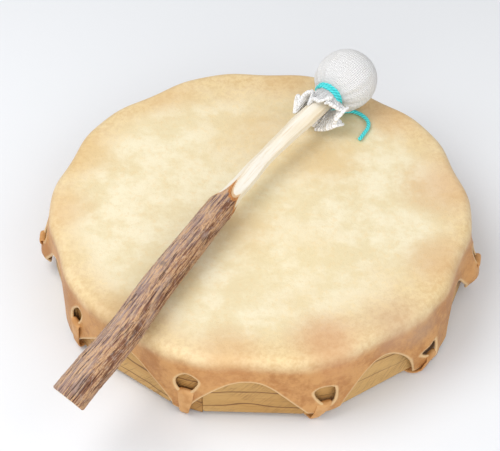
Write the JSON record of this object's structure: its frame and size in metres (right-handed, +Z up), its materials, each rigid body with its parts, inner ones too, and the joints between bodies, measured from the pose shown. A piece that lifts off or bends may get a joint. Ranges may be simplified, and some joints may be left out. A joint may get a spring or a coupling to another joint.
{
  "type": "frame drum with beater",
  "caption": "Shallow hand drum of laced rawhide on a many-sided wooden hoop, with a bark-handled, cloth-headed branch beater lying across the head.",
  "frame": {"origin": "the middle of the footprint of the drum with its beater, on the surface that the drum stands on", "axes": "+Z up through the drum's head; +Y away from the beater's handle, so that the beater runs from low X and Y to high X and Y; +X to the right"},
  "size_m": [0.3658, 0.4188, 0.1265],
  "materials": {
    "hoop_wood": "smooth sawn board with an oiled sheen",
    "post_wood": "end posts, oiled",
    "hide": "dried rawhide, satin",
    "lace_hide": "dried rawhide strip, matt",
    "ring_wood": "turned and oiled",
    "whittled_wood": "fresh whittled wood",
    "bark": "dry bark, matt",
    "wadding": "soft wadding",
    "knit_cloth": "ribbed jersey knit",
    "tie_cord": "twisted cotton cord"
  },
  "bodies": {
    "drum": {"hoop_board_1": "hoop_wood", "hoop_board_2": "hoop_wood", "hoop_board_3": "hoop_wood", "hoop_board_4": "hoop_wood", "hoop_board_5": "hoop_wood", "hoop_board_6": "hoop_wood", "hoop_board_7": "hoop_wood", "hoop_board_8": "hoop_wood", "hoop_board_9": "hoop_wood", "hoop_board_10": "hoop_wood", "corner_post_1": "post_wood", "corner_post_2": "post_wood", "corner_post_3": "post_wood", "corner_post_4": "post_wood", "corner_post_5": "post_wood", "corner_post_6": "post_wood", "corner_post_7": "post_wood", "corner_post_8": "post_wood", "corner_post_9": "post_wood", "corner_post_10": "post_wood", "drum_head": "hide", "lace_1": "lace_hide", "lace_2": "lace_hide", "lace_3": "lace_hide", "lace_4": "lace_hide", "lace_5": "lace_hide", "lace_6": "lace_hide", "lace_7": "lace_hide", "lace_8": "lace_hide", "lace_9": "lace_hide", "lace_10": "lace_hide", "hand_ring": "ring_wood"},
    "beater": {"beater_stick": "whittled_wood", "beater_bark": "bark", "beater_padding": "wadding", "beater_cover": "knit_cloth", "tie_turns": "tie_cord", "tie_tail": "tie_cord"}
  },
  "joints": [
    {"name": "beater_lift", "type": "slide", "parent": "drum", "child": "beater", "axis": [0, 0, 1], "range_m": [0, 0.15]}
  ]
}
